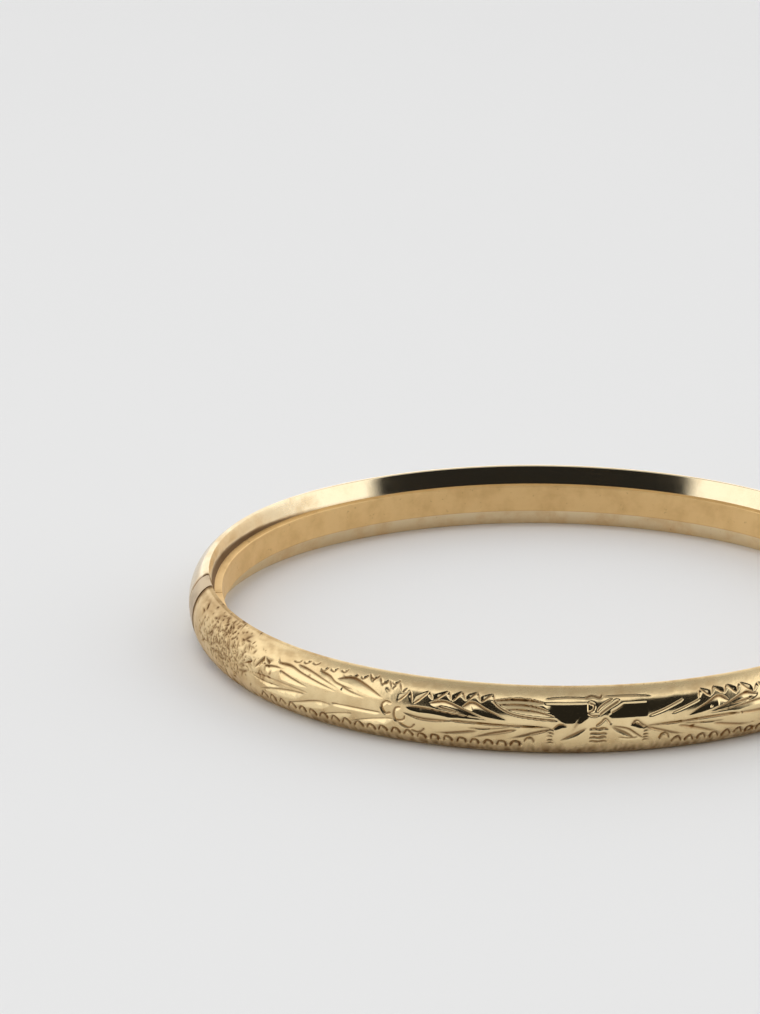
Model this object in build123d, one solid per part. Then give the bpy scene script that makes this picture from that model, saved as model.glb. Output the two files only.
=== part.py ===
from build123d import *
from math import atan2, cos, degrees, radians, sin, tan
import os

# Hinged bangle bracelet lying flat. Millimetres, Z up.
# X is the long way across the oval: the hinge is at -X and the clasp at +X.
# The engraved front half is on the -Y side and the plain back half on the +Y side.

# Oval of the liner's inner face, drawn with two end arcs and two side arcs
half_length = 29.5
half_width = 25.8
end_radius = 24.3

# Band section. Depth is measured outward from the liner's face.
band_width = 6.0
band_thickness = 3.0
sheet = 0.45
lip_depth = 0.70
lip_height = 1.3
edge_depth = 1.2
edge_round = 0.12
dome_centre = 0.85
dome_reach = 2.15
dome_rise = 3.12
liner_sheet = 0.3
liner_round = 0.1

# Joint between the halves, and the plain collars that end the front half
seam_gap = 0.1
collar_angle = 6.2
collar_groove_width = 0.25
collar_groove_depth = 0.12

# Hinge: three knuckles sunk in the ends of the halves
pivot_depth = 1.95
knuckle_radius = 0.6
cove_radius = 0.68
pin_radius = 0.3
pin_clearance = 0.04
knuckle_gap = 0.05
barrel_length = 3.0
middle_length = 1.1
pin_head_radius = 0.42
pin_head_height = 0.15
cove_length = 3.4
hinge_plate = 0.9
relief_angle = 20.5

# Clasp: a folded spring tongue on the back half, caught behind a slot in the front half
clasp_plate = 0.5
tongue_depth = 0.95
tongue_sheet = 0.25
tongue_half_width = 0.74
tongue_tip = 4.55
fold_gap = 0.1
fold_clearance = 0.04
leaf_rise = 9.0
leaf_length = 3.98
foot_top = 1.9
slot_clearance = 0.06
slot_floor = 0.9
slot_top = 1.72
stem_half_width = 0.28
stem_slot_half_width = 0.35
thumb_underside = 2.75
thumb_top = 3.45
thumb_half_width = 0.8
thumb_near = 0.32
thumb_far = 1.55
thumb_notch_half_width = 0.9
thumb_notch_end = 1.7
thumb_recess_floor = 2.15
tray_wall = 0.13
tray_floor = 0.2
tray_wall_top = 1.85
tray_end = 5.15

mid_height = band_width / 2
end_offset = half_length - end_radius
side_rise = half_width - end_radius
side_offset = (end_offset**2 - side_rise**2) / (2 * side_rise)
side_radius = half_width + side_offset
blend = degrees(atan2(side_offset, end_offset))
pivot = Pos(-half_length - pivot_depth, 0)
pivot_x = half_length + pivot_depth
clasp_radius = pivot_x + half_length
bevel_lean = atan2(edge_depth - lip_depth, mid_height - lip_height)

# Each arc of the oval: centre, radius and the directions it spans
oval_arcs = [
    ((-end_offset, 0), end_radius, 180 - blend, 180 + blend),
    ((0, side_offset), side_radius, 180 + blend, 360 - blend),
    ((end_offset, 0), end_radius, 360 - blend, 360 + blend),
    ((0, -side_offset), side_radius, blend, 180 - blend),
    ((end_offset, 0), end_radius, -blend, blend),
]


def run_section(section, start, end):
    """Sweep a band section round the oval between two directions."""
    pieces = []
    for centre, radius, arc_start, arc_end in oval_arcs:
        first = max(start, arc_start)
        last = min(end, arc_end)
        if last - first < 1e-6:
            continue
        placed = Plane.XZ * Pos(radius, mid_height) * section
        swept = revolve(placed, Axis.Z, last - first)
        pieces.append(Pos(centre[0], centre[1]) * Rot(0, 0, first) * swept)
    joined = pieces[0]
    for piece in pieces[1:]:
        joined = joined + piece
    return joined


def mirrored_polygon(points):
    """Closed outline through upper points and their mirror images below."""
    lower = [(depth, -height) for depth, height in reversed(points)]
    return make_face(Polyline(*points, *lower, close=True))


def upright_box(x_low, x_high, y_low, y_high, half_height):
    """Box given by its limits, centred on the band's mid height."""
    box = Box(x_high - x_low, y_high - y_low, 2 * half_height)
    return Pos((x_low + x_high) / 2, (y_low + y_high) / 2, mid_height) * box


def clasp_box_at(depth_low, depth_high, y_low, y_high, half_height):
    """Box at the clasp end, with its X limits given as depths in the band."""
    return upright_box(half_length + depth_low, half_length + depth_high, y_low, y_high, half_height)


def rod(radius, z_low, z_high):
    """Upright cylinder on the hinge pivot."""
    return pivot * Pos(0, 0, (z_low + z_high) / 2) * Cylinder(radius, z_high - z_low)


def swing_strip(depth_low, depth_high, y_low, y_high, half_height):
    """Strip curved about the hinge pivot, so that it swings through its own slot."""
    outer = Cylinder(clasp_radius + depth_high, 2 * half_height)
    inner = Cylinder(clasp_radius + depth_low, 4 * half_height)
    ring = pivot * Pos(0, 0, mid_height) * (outer - inner)
    return ring & upright_box(20, 40, y_low, y_high, 2 * half_height)


# Sections of the band, drawn as depth against height from the middle of the width
def band_outline(inset):
    """Outer shape of the band set inward by a distance."""
    lip = lip_depth + inset / cos(bevel_lean)
    top = mid_height - inset
    corner = lip + (top - lip_height) * tan(bevel_lean)
    dome = Pos(dome_centre) * Ellipse(dome_reach - inset, dome_rise - inset)
    return dome & mirrored_polygon([(lip, lip_height), (corner, top), (3.4, top)])


outer_area = band_outline(0)
edge_corners = [
    corner
    for corner in outer_area.vertices()
    if abs(abs(corner.Y) - mid_height) < 1e-3 and abs(corner.X - edge_depth) < 0.05
]
outer_area = fillet(edge_corners, edge_round)
cavity_area = band_outline(sheet)
cavity_start = lip_depth + sheet / cos(bevel_lean)
flange_depth = cavity_start
mouth = Pos(cavity_start / 2) * Rectangle(cavity_start + 0.01, 2 * lip_height)
shell_section = outer_area - cavity_area - mouth
groove_ring = outer_area - band_outline(collar_groove_depth) - mouth

liner_outline = Pos(flange_depth / 2) * Rectangle(flange_depth, 2 * lip_height)
liner_corners = liner_outline.vertices().group_by(Axis.X)[0]
liner_outline = fillet(liner_corners, liner_round)
channel_depth = flange_depth - liner_sheet
channel = Pos(liner_sheet + channel_depth) * Rectangle(2 * channel_depth, 2 * (lip_height - liner_sheet))
liner_section = liner_outline - channel
plate_root = Pos((liner_sheet + cavity_start) / 2) * Rectangle(
    cavity_start - liner_sheet + 0.2, 2 * (lip_height - liner_sheet)
)
plate_root = plate_root & Pos(liner_sheet + 2) * Rectangle(4, 4)
plate_section = cavity_area + plate_root

# Cutters shared by both halves
seam = Pos(0, 0, mid_height) * Box(80, seam_gap, 20)
relief_run = 3.0
relief_half = relief_run * tan(radians(relief_angle))
relief_face = make_face(Polyline((0, 0), (-relief_run, relief_half), (-relief_run, -relief_half), close=True))
relief = pivot * Pos(0, 0, -1) * extrude(relief_face, 8)

barrel_low = mid_height - barrel_length / 2
barrel_high = mid_height + barrel_length / 2
middle_low = mid_height - middle_length / 2
middle_high = mid_height + middle_length / 2
cove_low = mid_height - cove_length / 2
cove_high = mid_height + cove_length / 2
front_coves = (
    rod(cove_radius, cove_low, middle_low)
    + rod(knuckle_radius, middle_low, middle_high)
    + rod(cove_radius, middle_high, cove_high)
)
back_coves = (
    rod(knuckle_radius, cove_low, middle_low - knuckle_gap)
    + rod(cove_radius, middle_low - knuckle_gap, middle_high + knuckle_gap)
    + rod(knuckle_radius, middle_high + knuckle_gap, cove_high)
)

# Opening in the front half for the tongue, its stem and the thumb-piece
tongue_slot = clasp_box_at(slot_floor, slot_top, -1, 0, tongue_half_width + slot_clearance)
stem_slot = clasp_box_at(slot_top - 0.1, thumb_recess_floor + 0.1, -1, 0, stem_slot_half_width)
thumb_recess = clasp_box_at(thumb_recess_floor, 3.6, -thumb_notch_end, 0, thumb_notch_half_width)


def slab(y_low, y_high):
    """Slice of space between two planes parallel to the seam."""
    return upright_box(-50, 50, y_low, y_high, 10)


# Front half
half_gap = seam_gap / 2
front_shell = run_section(shell_section, 180 + collar_angle, 360 - collar_angle)
front_liner = run_section(liner_section, 180, 360) - seam
groove_angle = degrees(collar_groove_width / (end_radius + band_thickness))
hinge_end = 180 + collar_angle
clasp_end = 360 - collar_angle
hinge_collar = run_section(shell_section, 180, hinge_end) - seam
hinge_collar = hinge_collar - run_section(groove_ring, hinge_end - groove_angle, hinge_end + 1)
hinge_collar = hinge_collar - relief - front_coves
clasp_collar = run_section(shell_section, clasp_end, 360) - seam
clasp_collar = clasp_collar - run_section(groove_ring, clasp_end - 1, clasp_end + groove_angle)
clasp_collar = clasp_collar - thumb_recess

front_end_fill = run_section(plate_section, 180, 184)
front_hinge_plate = front_end_fill & slab(-half_gap - hinge_plate, -half_gap)
front_hinge_plate = front_hinge_plate - relief - front_coves
middle_knuckle = rod(knuckle_radius, middle_low, middle_high)
middle_knuckle = middle_knuckle - rod(pin_radius + pin_clearance, 0, 6)

front_clasp_fill = run_section(plate_section, 356, 360)
clasp_slot_plate = front_clasp_fill & slab(-half_gap - clasp_plate, -half_gap)
clasp_slot_plate = clasp_slot_plate - tongue_slot - stem_slot - thumb_recess

# Tray that guides the tongue, open on its outer side for the rising leaf
tray_inside = tongue_half_width + slot_clearance
tray_start = -half_gap - clasp_plate
tray_bottom = slot_floor - tray_floor
clasp_box = swing_strip(tray_bottom, tray_wall_top, -tray_end, tray_start, tray_inside + tray_wall)
tray_space = swing_strip(slot_floor, tray_wall_top + 1, -tray_end + tray_wall, tray_start + 1, tray_inside)
clasp_box = clasp_box - tray_space

# Back half
back_shell = run_section(shell_section, 0, 180) - seam - relief - back_coves
back_liner = run_section(liner_section, 0, 180) - seam
back_end_fill = run_section(plate_section, 176, 180)
back_hinge_plate = back_end_fill & slab(half_gap, half_gap + hinge_plate)
back_hinge_plate = back_hinge_plate - relief - back_coves
knuckle_bore = rod(pin_radius, 0, 6)
lower_knuckle = rod(knuckle_radius, barrel_low, middle_low - knuckle_gap) - knuckle_bore
upper_knuckle = rod(knuckle_radius, middle_high + knuckle_gap, barrel_high) - knuckle_bore
hinge_pin = rod(pin_radius, barrel_low, barrel_high)
hinge_pin = hinge_pin + rod(pin_head_radius, barrel_low - pin_head_height, barrel_low)
hinge_pin = hinge_pin + rod(pin_head_radius, barrel_high, barrel_high + pin_head_height)

back_clasp_fill = run_section(plate_section, 0, 4)
back_clasp_plate = back_clasp_fill & slab(half_gap, half_gap + clasp_plate)
foot_end = half_gap + clasp_plate + tongue_sheet
tongue_strip = swing_strip(
    tongue_depth, tongue_depth + tongue_sheet, -tongue_tip, foot_end, tongue_half_width
)
tongue_foot = clasp_box_at(
    tongue_depth + tongue_sheet / 2, foot_top, half_gap + clasp_plate, foot_end, tongue_half_width
)
tongue_base = tongue_strip + tongue_foot
back_clasp_plate = back_clasp_plate - tongue_strip

# Spring leaf: the tongue's strip folded back on itself at the tip and sprung outward
fold_radius = clasp_radius + tongue_depth + tongue_sheet + fold_gap
fold_lean = degrees(atan2(tongue_tip, fold_radius))
fold_x = (fold_radius**2 - tongue_tip**2) ** 0.5 - pivot_x
fold_place = Pos(fold_x, -tongue_tip, mid_height)
fold_outer = fold_gap + tongue_sheet
leaf_height = 2 * tongue_half_width
leaf_strip = Pos(fold_gap + tongue_sheet / 2, leaf_length / 2) * Box(tongue_sheet, leaf_length, leaf_height)
leaf_strip = Rot(0, 0, -leaf_rise) * leaf_strip
bend = Cylinder(fold_outer, leaf_height) - Cylinder(fold_gap, leaf_height + 1)
bend_behind_base = Rot(0, 0, -fold_lean) * Pos(0, -1 - fold_clearance) * Box(4, 2, 4)
bend_below_leaf = Rot(0, 0, -leaf_rise) * Pos(0, -1) * Box(4, 2, 4)
inner_bend = bend & bend_behind_base & Pos(-1) * Box(2, 4, 4)
outer_bend = bend & bend_below_leaf & Pos(1) * Box(2, 4, 4)
spring_leaf = fold_place * (leaf_strip + inner_bend + outer_bend)

# Thumb-piece: a stem standing on the leaf with a ridged pad above the band's surface
stem_reach = 1.05
stem = Pos(fold_outer + stem_reach / 2, leaf_length - 0.45) * Box(stem_reach, 0.55, 2 * stem_half_width)
stem = fold_place * Rot(0, 0, -leaf_rise) * stem
pad = clasp_box_at(thumb_underside, thumb_top, -thumb_far, -thumb_near, thumb_half_width)
pad = fillet(pad.edges().filter_by(Axis.X), 0.25)
pad = fillet(pad.faces().sort_by(Axis.X)[-1].edges(), 0.12)
pad_length = thumb_far - thumb_near
for ridge in (-0.3, 0, 0.3):
    ridge_place = Pos(half_length + thumb_top + 0.02, -thumb_near - pad_length / 2 + ridge, mid_height)
    pad = pad - ridge_place * Cylinder(0.08, 4)
thumb_piece = stem + pad

nodes = {
    "front_shell": front_shell,
    "front_liner": front_liner,
    "hinge_collar": hinge_collar,
    "clasp_collar": clasp_collar,
    "front_hinge_plate": front_hinge_plate,
    "middle_knuckle": middle_knuckle,
    "clasp_slot_plate": clasp_slot_plate,
    "clasp_box": clasp_box,
    "back_shell": back_shell,
    "back_liner": back_liner,
    "back_hinge_plate": back_hinge_plate,
    "lower_knuckle": lower_knuckle,
    "upper_knuckle": upper_knuckle,
    "hinge_pin": hinge_pin,
    "back_clasp_plate": back_clasp_plate,
    "tongue_base": tongue_base,
    "spring_leaf": spring_leaf,
    "thumb_piece": thumb_piece,
}

os.makedirs("parts", exist_ok=True)
for name, solid in nodes.items():
    export_step(solid, f"parts/{name}.step")
    box = solid.bounding_box()
    print(f"{name:20s} solids {len(solid.solids())} volume {solid.volume:8.3f} valid {solid.is_valid}")
    print("    ", [round(v, 3) for v in (*box.min, *box.max)])
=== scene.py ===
import bpy
import math
import numpy as np
from mathutils import Matrix, Vector


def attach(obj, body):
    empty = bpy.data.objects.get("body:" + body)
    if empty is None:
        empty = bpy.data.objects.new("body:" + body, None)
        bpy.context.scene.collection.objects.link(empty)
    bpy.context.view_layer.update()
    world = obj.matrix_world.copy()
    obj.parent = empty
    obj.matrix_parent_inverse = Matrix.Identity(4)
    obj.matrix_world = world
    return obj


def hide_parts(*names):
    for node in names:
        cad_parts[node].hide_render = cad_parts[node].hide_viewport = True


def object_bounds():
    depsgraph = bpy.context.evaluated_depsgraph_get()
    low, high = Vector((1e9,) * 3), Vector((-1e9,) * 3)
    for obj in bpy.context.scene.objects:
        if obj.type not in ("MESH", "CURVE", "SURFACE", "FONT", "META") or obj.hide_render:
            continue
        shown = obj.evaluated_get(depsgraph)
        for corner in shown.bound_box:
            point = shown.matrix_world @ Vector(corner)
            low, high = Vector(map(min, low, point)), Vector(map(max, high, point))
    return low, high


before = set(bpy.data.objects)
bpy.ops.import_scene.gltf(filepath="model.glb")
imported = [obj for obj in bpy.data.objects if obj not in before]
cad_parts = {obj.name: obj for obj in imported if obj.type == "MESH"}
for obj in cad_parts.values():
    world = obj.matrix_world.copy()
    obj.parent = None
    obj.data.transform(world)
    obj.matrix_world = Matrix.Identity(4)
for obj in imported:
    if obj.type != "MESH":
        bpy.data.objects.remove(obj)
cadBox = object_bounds()
mm = 0.001

# Shape of the band. Depth is measured outward from the liner's face, height from the table.
bangle = {
    "halfLength": 29.5,
    "halfWidth": 25.8,
    "endRadius": 24.3,
    "width": 6.0,
    "thickness": 3.0,
    "sheet": 0.45,
    "lipDepth": 0.70,
    "lipHeight": 1.3,
    "edgeDepth": 1.2,
    "edgeRound": 0.12,
    "innerRound": 0.08,
    "domeCentre": 0.85,
    "domeReach": 2.15,
    "domeRise": 3.12,
    "domeArc": 3.0,  # from the crest to where the dome ends, along the outline
    "domeFade": 0.08,
    "collarAngle": 6.2,
    "seamGap": 0.1,
    "pivotDepth": 1.95,
}

midHeight = bangle["width"] / 2
endOffset = bangle["halfLength"] - bangle["endRadius"]
sideRise = bangle["halfWidth"] - bangle["endRadius"]
sideOffset = (endOffset**2 - sideRise**2) / (2 * sideRise)
sideRadius = bangle["halfWidth"] + sideOffset
blendAngle = math.degrees(math.atan2(sideOffset, endOffset))
lean = math.atan2(bangle["edgeDepth"] - bangle["lipDepth"], midHeight - bangle["lipHeight"])
crestEndRadius = bangle["endRadius"] + bangle["thickness"]
crestSideRadius = sideRadius + bangle["thickness"]
sideRun = crestSideRadius * math.radians(90 - blendAngle)  # crest length, front's middle to end arc
quarterRun = 48.37  # crest length of a quarter of the band


# Signal wraps one shader socket, so that shader maths reads as ordinary expressions
class Signal:
    def __init__(self, finish, socket):
        self.finish = finish
        self.socket = socket

    def __add__(self, other):
        return self.finish.math("ADD", self, other)

    def __radd__(self, other):
        return self.finish.math("ADD", other, self)

    def __sub__(self, other):
        return self.finish.math("SUBTRACT", self, other)

    def __rsub__(self, other):
        return self.finish.math("SUBTRACT", other, self)

    def __mul__(self, other):
        return self.finish.math("MULTIPLY", self, other)

    def __rmul__(self, other):
        return self.finish.math("MULTIPLY", other, self)

    def __truediv__(self, other):
        return self.finish.math("DIVIDE", self, other)

    def __rtruediv__(self, other):
        return self.finish.math("DIVIDE", other, self)


class Finish:
    def __init__(self, tree):
        self.tree = tree
        tree.nodes.clear()

    def add(self, kind, settings=None, inputs=None, output=0):
        made = self.tree.nodes.new(kind)
        for name, value in (settings or {}).items():
            setattr(made, name, value)
        for key, value in (inputs or {}).items():
            if isinstance(value, Signal):
                self.tree.links.new(value.socket, made.inputs[key])
            else:
                made.inputs[key].default_value = value
        return Signal(self, made.outputs[output]) if len(made.outputs) else made

    def math(self, operation, first, second):
        return self.add("ShaderNodeMath", {"operation": operation}, {0: first, 1: second})

    def smooth(self, value, low, high):
        settings = {"interpolation_type": "SMOOTHSTEP", "clamp": True}
        inputs = {"Value": value, "From Min": low, "From Max": high}
        return self.add("ShaderNodeMapRange", settings, inputs)

    def clip(self, value):
        return self.add("ShaderNodeMath", {"operation": "ADD", "use_clamp": True}, {0: value, 1: 0.0})

    def mix(self, mask, first, second):
        inputs = {0: mask, 6: first, 7: second}
        return self.add("ShaderNodeMix", {"data_type": "RGBA"}, inputs, 2)

    def attribute(self, name):
        return self.add("ShaderNodeAttribute", {"attribute_name": name}, None, "Fac")

    def noise(self, vector, scale, detail=3.0, roughness=0.55):
        inputs = {"Vector": vector, "Scale": scale, "Detail": detail, "Roughness": roughness}
        return self.add("ShaderNodeTexNoise", None, inputs, "Fac")

    def place(self):
        return self.add("ShaderNodeTexCoord", None, None, "Object")

    def alongBand(self, alongScale, acrossScale):
        along = self.attribute("along") * alongScale
        across = self.attribute("across") * acrossScale
        return self.add("ShaderNodeCombineXYZ", None, {"X": along, "Y": across})


def colour(red, green, blue):
    return (red, green, blue, 1.0)


# Metal surface: a clean tint and a worn tint, mottled by noise, with tarnish and painted shade mixed in
# as one dark brown tint
def metalFinish(name, choice):
    material = bpy.data.materials.new(name)
    material.use_nodes = True
    finish = Finish(material.node_tree)
    place = finish.place()
    blotch = finish.noise(place, choice["blotchScale"], detail=4.0, roughness=0.6)
    speck = finish.noise(place, choice["speckScale"], detail=2.0, roughness=0.5)
    grain = finish.noise(place, choice["grainScale"], detail=3.0, roughness=0.65)
    worn = finish.smooth(blotch, choice["wornFrom"], choice["wornTo"])
    dirt = finish.smooth(speck, choice["dirtFrom"], choice["dirtTo"]) * choice["dirt"]
    if choice["banded"]:  # swept pieces know where along and across the band they are
        lengthwise = finish.alongBand(choice["hairAlong"], choice["hairAcross"])
        hair = finish.noise(lengthwise, 1.0, detail=3.0, roughness=0.6)
        wear = finish.attribute("wear")
        polish = finish.attribute("polish")
        age = finish.math("MINIMUM", wear, 1.0)
        worn = worn * (0.4 + age * 0.6) + age * choice["wearTint"]
        worn = finish.clip(worn - polish * choice["polishClean"])
        # Specks of dirt, joined by the band's tarnish and painted shade
        dirt = finish.math("MAXIMUM", dirt * age, finish.attribute("tarnish"))
        gloss = (1 - polish * choice["polishGain"]) * (1 + wear * choice["wearRough"])
        relief = grain * (wear * choice["grainRelief"]) + hair * choice["hairRelief"]
    else:
        hair = grain
        gloss = 1.0
        relief = grain * choice["grainRelief"]
    tint = finish.mix(worn, choice["clean"], choice["worn"])
    tint = finish.mix(dirt, tint, choice["tarnish"])
    rough = choice["rough"] + (blotch - 0.5) * choice["roughBlotch"]
    rough = rough + (hair - 0.5) * choice["roughHair"]
    rough = (rough + worn * choice["roughWorn"] + dirt * choice["roughDirt"]) * gloss
    rough = finish.math("MAXIMUM", rough, choice["roughLeast"])
    relief = relief + blotch * choice["blotchRelief"]
    bumped = finish.add("ShaderNodeBump", None, {"Strength": 1.0, "Distance": mm, "Height": relief})
    inputs = {"Base Color": tint, "Metallic": 1.0, "Roughness": rough, "Normal": bumped}
    shader = finish.add("ShaderNodeBsdfPrincipled", None, inputs)
    finish.add("ShaderNodeOutputMaterial", None, {"Surface": shader})
    return material


goldChoices = {
    "clean": colour(0.93, 0.73, 0.41),
    "worn": colour(0.72, 0.52, 0.27),
    "tarnish": colour(0.20, 0.092, 0.028),
    "banded": True,
    "blotchScale": 420.0,  # per metre
    "speckScale": 2600.0,
    "grainScale": 7000.0,
    "hairAlong": 0.35,  # per millimetre
    "hairAcross": 11.0,
    "wornFrom": 0.40,
    "wornTo": 0.72,
    "wearTint": 0.25,
    "wearRough": 1.3,
    "dirtFrom": 0.66,
    "dirtTo": 0.78,
    "dirt": 0.35,
    "rough": 0.11,
    "roughLeast": 0.04,
    "roughBlotch": 0.06,
    "roughHair": 0.06,
    "roughWorn": 0.04,
    "roughDirt": 0.3,
    "grainRelief": 0.0022,  # millimetres
    "hairRelief": 0.0012,
    "blotchRelief": 0.004,
    "polishGain": 0.35,
    "polishClean": 0.6,
}

finishes = {
    "engravedGold": metalFinish("engravedGold", goldChoices),
    "polishedGold": metalFinish("polishedGold", {
        **goldChoices,
        "clean": colour(0.95, 0.80, 0.54),
        "worn": colour(0.86, 0.68, 0.42),
        "rough": 0.07,
        "roughBlotch": 0.04,
        "roughHair": 0.04,
        "dirt": 0.1,
        "wearTint": 0.0,
        "grainRelief": 0.0008,
        "hairRelief": 0.0006,
    }),
    "linerGold": metalFinish("linerGold", {
        **goldChoices,
        "clean": colour(0.84, 0.59, 0.28),
        "worn": colour(0.72, 0.49, 0.22),
        "rough": 0.40,
        "roughBlotch": 0.12,
        "roughHair": 0.10,
        "wearRough": 0.6,
        "wearTint": 0.1,
        "hairRelief": 0.0016,
        "dirt": 0.5,
    }),
    "plainGold": metalFinish("plainGold", {
        **goldChoices,
        "banded": False,
        "clean": colour(0.56, 0.43, 0.27),
        "worn": colour(0.44, 0.32, 0.19),
        "rough": 0.36,
        "dirt": 0.6,
        "grainRelief": 0.004,
        "blotchRelief": 0.008,
    }),
    "endMetal": metalFinish("endMetal", {
        **goldChoices,
        "banded": False,
        "clean": colour(0.72, 0.52, 0.27),
        "worn": colour(0.50, 0.34, 0.17),
        "rough": 0.34,
        "dirt": 0.5,
    }),
    "pinMetal": metalFinish("pinMetal", {
        **goldChoices,
        "banded": False,
        "clean": colour(0.62, 0.60, 0.56),
        "worn": colour(0.42, 0.39, 0.34),
        "rough": 0.26,
    }),
    "springMetal": metalFinish("springMetal", {
        **goldChoices,
        "banded": False,
        "clean": colour(0.76, 0.66, 0.46),
        "worn": colour(0.58, 0.46, 0.28),
        "rough": 0.22,
    }),
}
print("finishes", len(finishes))


# Path of the band: for each direction of the outward normal, the arc's centre and radius
def ringArcs(angles):
    turned = np.mod(np.asarray(angles, float) + 360.0, 360.0)
    atLeft = np.abs(turned - 180.0) <= blendAngle
    atRight = (turned <= blendAngle) | (turned >= 360.0 - blendAngle)
    atFront = (turned > 180.0) & ~atLeft & ~atRight
    atBack = (turned < 180.0) & ~atLeft & ~atRight
    centreX = np.where(atLeft, -endOffset, np.where(atRight, endOffset, 0.0))
    centreY = np.where(atFront, sideOffset, np.where(atBack, -sideOffset, 0.0))
    radius = np.where(atLeft | atRight, bangle["endRadius"], sideRadius)
    return centreX, centreY, radius


def angleAtCrest(along):
    along = np.asarray(along, float)
    inside = np.clip(along, -sideRun, sideRun)
    beyond = along - inside
    return 270.0 + np.degrees(inside / crestSideRadius + beyond / crestEndRadius)


# Outline of the band's outside, from the lower lip round the crest to the upper lip
def outerOutline(step, inset=0.0):
    lip = bangle["lipDepth"] + inset / math.cos(lean)
    top = midHeight - inset
    reach = bangle["domeReach"] - inset
    rise = bangle["domeRise"] - inset
    fillet = bangle["edgeRound"] if inset == 0 else bangle["innerRound"]
    turn = np.linspace(0, math.asin(top / rise), 400)
    depth = bangle["domeCentre"] + reach * np.cos(turn)
    height = rise * np.sin(turn)
    length = np.concatenate([[0], np.cumsum(np.hypot(np.diff(depth), np.diff(height)))])
    even = np.linspace(0, length[-1], max(3, round(length[-1] / step)) + 1)
    upperDepth = np.interp(even, length, depth)
    upperHeight = np.interp(even, length, height)
    filletDepth = lip + (top - fillet - bangle["lipHeight"]) * math.tan(lean) + fillet / math.cos(lean)
    corner = np.radians(np.linspace(90, 180 - math.degrees(lean), 7))
    cornerDepth = filletDepth + fillet * np.cos(corner)
    cornerHeight = top - fillet + fillet * np.sin(corner)
    wall = np.array([0.2, 0.4, 0.55, 0.66, 0.75, 0.82, 0.88, 0.94, 1.0])
    wallDepth = cornerDepth[-1] + (lip - cornerDepth[-1]) * wall
    wallHeight = cornerHeight[-1] + (bangle["lipHeight"] - cornerHeight[-1]) * wall
    halfDepth = np.concatenate([upperDepth, cornerDepth, wallDepth])
    halfHeight = np.concatenate([upperHeight, cornerHeight, wallHeight])
    fullDepth = np.concatenate([halfDepth[:0:-1], halfDepth])
    fullHeight = np.concatenate([-halfHeight[:0:-1], halfHeight])
    across = np.concatenate([[0], np.cumsum(np.hypot(np.diff(fullDepth), np.diff(fullHeight)))])
    return fullDepth, fullHeight, across - across[len(across) // 2]


def outlineNormals(depth, height):
    slopeDepth = np.gradient(depth)
    slopeHeight = np.gradient(height)
    size = np.hypot(slopeDepth, slopeHeight)
    return slopeHeight / size, -slopeDepth / size


def giveFinish(piece, finishName):
    piece.data.materials.clear()
    piece.data.materials.append(finishes[finishName])


# Sweep closed sections round the path; depth and height are arrays of stations by points
def sweepBand(name, angles, depth, height, fields, sharpAngle):
    stations, points = depth.shape
    centreX, centreY, radius = ringArcs(angles)
    turn = np.radians(angles)
    spread = radius[:, None] + depth
    x = centreX[:, None] + spread * np.cos(turn)[:, None]
    y = centreY[:, None] + spread * np.sin(turn)[:, None]
    z = midHeight + height
    places = np.stack([x, y, z], -1).reshape(-1, 3) * mm
    index = np.arange(stations * points).reshape(stations, points)
    ahead = np.roll(index, -1, axis=1)
    quads = np.stack([index[:-1], index[1:], ahead[1:], ahead[:-1]], -1).reshape(-1, 4)
    mesh = bpy.data.meshes.new(name)
    loops = np.concatenate([quads.ravel(), index[0], index[-1][::-1]])
    starts = np.concatenate([np.arange(len(quads)) * 4, [len(quads) * 4, len(quads) * 4 + points]])
    totals = np.concatenate([np.full(len(quads), 4), [points, points]])
    mesh.vertices.add(len(places))
    mesh.vertices.foreach_set("co", places.ravel())
    mesh.loops.add(len(loops))
    mesh.loops.foreach_set("vertex_index", loops.astype(np.int32))
    mesh.polygons.add(len(starts))
    mesh.polygons.foreach_set("loop_start", starts.astype(np.int32))
    mesh.polygons.foreach_set("loop_total", totals.astype(np.int32))
    smooth = np.ones(len(starts), bool)
    smooth[-2:] = False
    mesh.polygons.foreach_set("use_smooth", smooth)
    mesh.update(calc_edges=True)
    mesh.validate()
    for field, values in fields.items():
        made = mesh.attributes.new(field, "FLOAT", "POINT")
        made.data.foreach_set("value", np.ascontiguousarray(values, np.float32).ravel())
    mesh.set_sharp_from_angle(angle=math.radians(sharpAngle))
    piece = bpy.data.objects.new(name, mesh)
    bpy.context.scene.collection.objects.link(piece)
    return piece


def closedSection(outerStep, innerStep):
    depth, height, across = outerOutline(outerStep)
    innerDepth, innerHeight, innerAcross = outerOutline(innerStep, bangle["sheet"])
    return depth, height, across, innerDepth[::-1], innerHeight[::-1], innerAcross[::-1]


# Rises from 0 at the start to 1 once the span is covered
def fadeIn(values, start, span):
    return np.clip((values - start) / span, 0, 1)


def domeShare(across):
    return 1 / (1 + np.exp((np.abs(across) - bangle["domeArc"]) / bangle["domeFade"]))


# Outer outline lifted along its normals, then the plain inner outline, as stations by points
def liftSections(section, lift):
    depth, height, _, innerDepth, innerHeight, _ = section
    normalDepth, normalHeight = outlineNormals(depth, height)
    ones = np.ones((len(lift), 1))
    outerDepth = depth[None, :] + lift * normalDepth[None, :]
    outerHeight = height[None, :] + lift * normalHeight[None, :]
    allDepth = np.concatenate([outerDepth, ones * innerDepth[None, :]], 1)
    allHeight = np.concatenate([outerHeight, ones * innerHeight[None, :]], 1)
    return allDepth, allHeight


# Values at every point of a swept band; those given for the outside only are zero inside
def pointFields(shape, along, **given):
    fields = {"along": np.zeros(shape) + along[:, None]}
    for name, values in given.items():
        fields[name] = np.zeros(shape)
        fields[name][:, :values.shape[1]] = values
    return fields


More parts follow.
